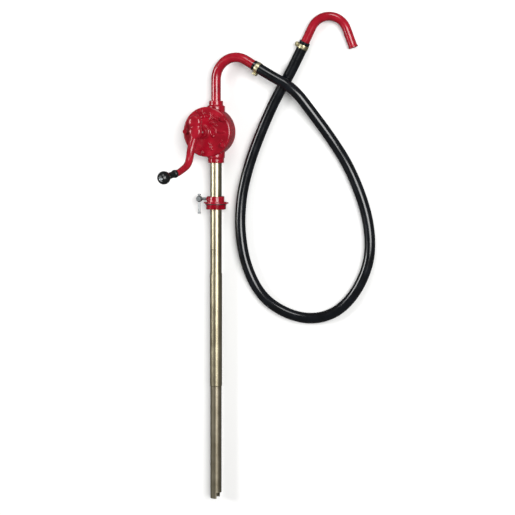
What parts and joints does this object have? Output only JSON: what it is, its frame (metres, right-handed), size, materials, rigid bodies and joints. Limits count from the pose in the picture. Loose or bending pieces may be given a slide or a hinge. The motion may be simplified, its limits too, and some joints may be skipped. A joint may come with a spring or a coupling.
{
  "type": "rotary hand pump",
  "caption": "Hand-cranked rotary vane drum pump with telescopic suction tube, sliding bung adaptor, bent spout, rubber hose and hooked nozzle, lying on its back.",
  "frame": {"origin": "centre of the casing's flat back face, on the surface that the pump lies on", "axes": "+Z out of the front cover along the crank shaft, +Y along the suction tube towards the spout, +X across the pump towards the hose"},
  "size_m": [0.5799, 1.4449, 0.264],
  "materials": {
    "red_enamel": "glossy red stoving enamel on cast iron and steel tube",
    "yellow_zinc": "yellow-passivated zinc plate",
    "bright_zinc": "bright zinc plate",
    "ground_steel": "ground steel",
    "cast_iron": "machined cast iron",
    "bronze": "machined bronze",
    "packing": "graphited braided packing",
    "gasket_board": "gasket board",
    "nitrile_rubber": "moulded nitrile rubber",
    "hose_rubber": "smooth extruded rubber",
    "black_phenolic": "moulded phenolic"
  },
  "bodies": {
    "pump": {"pump_body": "red_enamel", "cover_gasket": "gasket_board", "front_cover": "red_enamel", "cover_bolts": "bright_zinc", "cover_washers": "bright_zinc", "rear_bush": "bronze", "front_bush": "bronze", "shaft_packing": "packing", "gland_nut": "red_enamel", "upper_tube": "yellow_zinc", "spout_pipe": "red_enamel", "hose": "hose_rubber", "nozzle_pipe": "red_enamel", "spout_clamp_band": "yellow_zinc", "spout_clamp_screw": "yellow_zinc", "nozzle_clamp_band": "yellow_zinc", "nozzle_clamp_screw": "yellow_zinc"},
    "crank": {"rotor_shaft": "ground_steel", "rotor": "cast_iron", "rotor_key": "ground_steel", "vane_1": "ground_steel", "vane_2": "ground_steel", "vane_3": "ground_steel", "vane_4": "ground_steel", "vane_springs": "ground_steel", "crank_arm": "red_enamel", "crank_pin": "bright_zinc", "knob_spindle": "bright_zinc", "knob_washer": "bright_zinc"},
    "knob": {"crank_knob": "black_phenolic"},
    "middle_tube": {"middle_tube": "yellow_zinc"},
    "lower_tube": {"lower_tube": "yellow_zinc"},
    "adaptor_seal": {"adaptor_seal": "nitrile_rubber"},
    "bung_adaptor": {"bung_adaptor": "red_enamel", "bung_gasket": "nitrile_rubber"},
    "clamp_pad": {"clamp_pad": "bright_zinc"},
    "clamp_screw": {"clamp_screw": "bright_zinc"},
    "cross_bar": {"cross_bar": "bright_zinc"}
  },
  "joints": [
    {"name": "crank_spin", "type": "hinge", "parent": "pump", "child": "crank", "pos_m": [-0.012, 0, 0.06], "axis": [0, 0, 1], "continuous": true},
    {"name": "knob_spin", "type": "hinge", "parent": "crank", "child": "knob", "pos_m": [-0.0425, -0.117, 0.197], "axis": [-0.34, -0.2, 0.9189], "continuous": true},
    {"name": "middle_tube_slide", "type": "slide", "parent": "pump", "child": "middle_tube", "axis": [0, 1, 0], "range_m": [0, 0.1]},
    {"name": "lower_tube_slide", "type": "slide", "parent": "middle_tube", "child": "lower_tube", "axis": [0, 1, 0], "range_m": [0, 0.15]},
    {"name": "adaptor_slide", "type": "slide", "parent": "pump", "child": "adaptor_seal", "axis": [0, 1, 0], "range_m": [-0.085, 0.08]},
    {"name": "adaptor_turn", "type": "hinge", "parent": "adaptor_seal", "child": "bung_adaptor", "pos_m": [0.02, -0.21, 0.033], "axis": [0, 1, 0], "continuous": true},
    {"name": "pad_slide", "type": "slide", "parent": "bung_adaptor", "child": "clamp_pad", "axis": [1, 0, 0], "range_m": [-0.00501, 0]},
    {"name": "screw_turn", "type": "hinge", "parent": "clamp_pad", "child": "clamp_screw", "pos_m": [-0.033, -0.1985, 0.033], "axis": [1, 0, 0], "range_deg": [-1440, 0]},
    {"name": "bar_slide", "type": "slide", "parent": "clamp_screw", "child": "cross_bar", "axis": [0, 1, 0], "range_m": [0, 0.029]}
  ],
  "couplings": [
    {"joint": "pad_slide", "follows": "screw_turn", "m_per_rad": 0.00019894}
  ]
}
